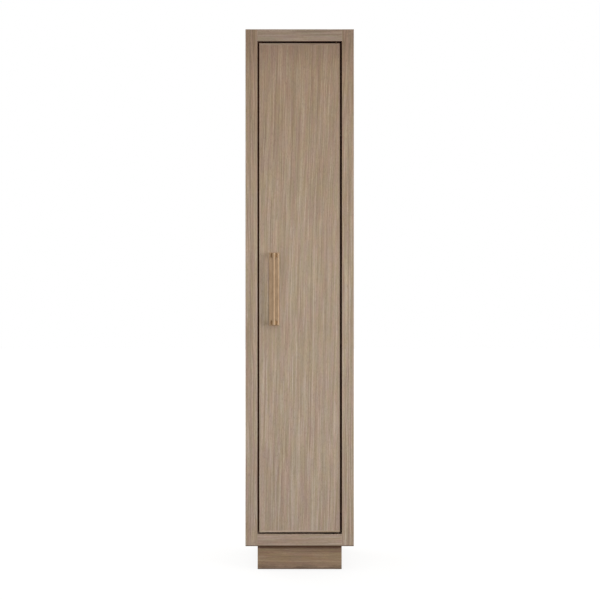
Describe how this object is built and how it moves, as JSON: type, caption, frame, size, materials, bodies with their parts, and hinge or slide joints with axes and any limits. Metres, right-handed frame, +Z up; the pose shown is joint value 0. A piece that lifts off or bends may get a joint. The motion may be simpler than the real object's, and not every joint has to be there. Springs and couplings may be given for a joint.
{
  "type": "broom cupboard",
  "caption": "Tall, narrow broom cupboard with an inset pivoting door, a bar handle on a bevelled backplate, a shelf, broom hooks and a set-in plinth.",
  "frame": {"origin": "on the floor, in the middle of the bounding box", "axes": "+Z up, +X to the right of someone facing the door, +Y towards the wall; the door faces -Y"},
  "size_m": [0.406, 0.4894, 2.032],
  "materials": {
    "oak": "greyed oak veneer and lipping, satin lacquer",
    "oak_inside": "greyed oak veneer inside, satin lacquer",
    "plywood": "sealed plywood",
    "softwood": "planed, unfinished",
    "beech": "fluted dowel, plain here",
    "brass": "brushed and lacquered",
    "dark_brass": "antiqued",
    "bronze": "dark bronze plating",
    "steel": "zinc plated",
    "magnet": "nickel plated",
    "nylon": "black nylon",
    "black_plastic": "moulded",
    "clear_bumper": "clear polyurethane"
  },
  "bodies": {
    "carcass": {"side_panel_left": "oak", "side_panel_right": "oak", "side_lipping_left": "oak", "side_lipping_right": "oak", "top_panel": "oak", "floor_panel": "oak_inside", "back_panel": "plywood", "wall_fixing_rail": "oak_inside", "back_panel_screws": "steel", "face_stile_left": "oak", "face_stile_right": "oak", "face_rail_top": "oak", "face_rail_bottom": "oak", "joint_dowels": "beech", "bearer_front": "softwood", "bearer_middle": "softwood", "bearer_back": "softwood", "underside_screws": "steel", "plinth_corner_blocks": "softwood", "leveller_inserts": "steel", "plinth_front": "oak", "plinth_back": "oak", "plinth_left": "oak", "plinth_right": "oak", "door_stop": "oak_inside", "door_bumpers": "clear_bumper", "catch_magnets": "magnet", "shelf_panel": "oak_inside", "shelf_lipping": "oak_inside", "shelf_pins": "steel", "hook_rail": "oak_inside", "broom_hook_left": "brass", "broom_hook_middle": "brass", "broom_hook_right": "brass", "carcass_fitting_screws": "steel", "pivot_plate_bottom": "bronze", "pivot_pin_bottom": "bronze", "pivot_washer_bottom": "nylon", "pivot_plate_top": "bronze"},
    "door": {"door_core": "oak", "door_lipping_latch": "oak", "door_lipping_hinge": "oak", "door_lipping_top": "oak", "door_lipping_bottom": "oak", "door_fitting_screws": "steel", "catch_strikes": "steel", "pivot_socket_door": "bronze", "pivot_barrel_top": "bronze", "pivot_spring_top": "steel", "handle_backplate": "brass", "handle_bar": "brass", "handle_foot_bottom": "dark_brass", "handle_foot_top": "dark_brass", "handle_bolts": "steel"},
    "top_pin": {"pivot_pin_top": "bronze", "pivot_release_knob": "bronze"},
    "leveller_front_left": {"leveller_front_left": "black_plastic"},
    "leveller_front_right": {"leveller_front_right": "black_plastic"},
    "leveller_back_left": {"leveller_back_left": "black_plastic"},
    "leveller_back_right": {"leveller_back_right": "black_plastic"}
  },
  "joints": [
    {"name": "door_swing", "type": "hinge", "parent": "carcass", "child": "door", "pos_m": [0.1375, -0.20025, 0.1475], "axis": [0, 0, 1], "range_deg": [0, 110]},
    {"name": "top_pin_draw", "type": "slide", "parent": "door", "child": "top_pin", "axis": [0, 0, -1], "range_m": [0, 0.012], "stiffness_N_per_m": 1500, "springref_m": -0.005, "deforming": ["pivot_spring_top"]},
    {"name": "level_front_left", "type": "slide", "parent": "carcass", "child": "leveller_front_left", "axis": [0, 0, -1], "range_m": [-0.006, 0.012]},
    {"name": "level_front_right", "type": "slide", "parent": "carcass", "child": "leveller_front_right", "axis": [0, 0, -1], "range_m": [-0.006, 0.012]},
    {"name": "level_back_left", "type": "slide", "parent": "carcass", "child": "leveller_back_left", "axis": [0, 0, -1], "range_m": [-0.006, 0.012]},
    {"name": "level_back_right", "type": "slide", "parent": "carcass", "child": "leveller_back_right", "axis": [0, 0, -1], "range_m": [-0.006, 0.012]}
  ]
}
